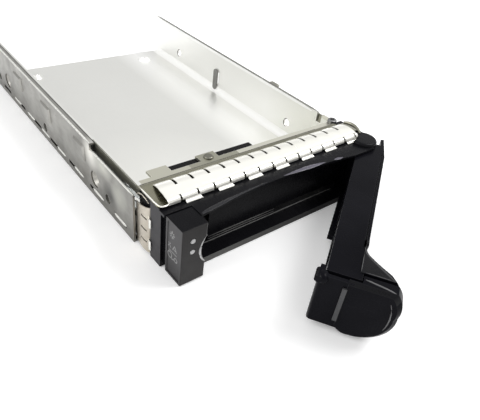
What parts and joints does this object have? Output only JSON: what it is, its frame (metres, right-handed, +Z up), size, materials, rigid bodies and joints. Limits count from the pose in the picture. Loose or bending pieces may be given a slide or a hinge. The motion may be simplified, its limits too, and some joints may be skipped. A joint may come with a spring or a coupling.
{
  "type": "hot swap drive caddy",
  "caption": "Folded steel tray for a 3.5 inch drive with a black bezel, sprung contact strips and a hinged latch handle.",
  "frame": {"origin": "middle of the tray's underside", "axes": "+X to the right along the front, +Y from the front to the back, +Z up"},
  "size_m": [0.1154, 0.2468, 0.0285],
  "materials": {
    "tray_steel": "satin zinc plate",
    "guard_steel": "satin zinc plate",
    "clear_rod": "clear moulded",
    "black_plastic": "semi gloss moulded",
    "cap_plastic": "fine matt",
    "bright_strip": "bright tin plate",
    "dull_strip": "dull tin plate",
    "pin_steel": "ground",
    "strip_plastic": "matt",
    "rivet_metal": "plain",
    "screw_steel": "dark plate",
    "handle_plastic": "semi gloss moulded",
    "button_plastic": "semi gloss moulded",
    "spring_steel": "plain wire"
  },
  "bodies": {
    "caddy": {"tray": "tray_steel", "light_pipe_guard": "guard_steel", "light_pipe_upper": "clear_rod", "light_pipe_lower": "clear_rod", "bezel": "black_plastic", "led_cap": "cap_plastic", "emi_strip_top": "bright_strip", "emi_strip_left": "dull_strip", "emi_strip_right": "dull_strip", "hinge_pin": "pin_steel", "stop_strip": "strip_plastic", "stop_strip_rivet": "rivet_metal", "ground_screw": "screw_steel", "bezel_rivet_left": "rivet_metal", "bezel_rivet_right": "rivet_metal", "guard_rivet_front": "rivet_metal", "guard_rivet_middle": "rivet_metal", "guard_rivet_rear": "rivet_metal"},
    "handle": {"handle": "handle_plastic", "button_spring": "spring_steel"},
    "button": {"release_button": "button_plastic"}
  },
  "joints": [
    {"name": "handle_swing", "type": "hinge", "parent": "caddy", "child": "handle", "pos_m": [0.0479, -0.09825, 0.0133], "axis": [0, 0, 1], "range_deg": [-33, 12]},
    {"name": "button_press", "type": "slide", "parent": "handle", "child": "button", "axis": [0.8387, 0.5446, 0], "range_m": [0, 0.0012], "stiffness_N_per_m": 400, "springref_m": -0.003}
  ]
}
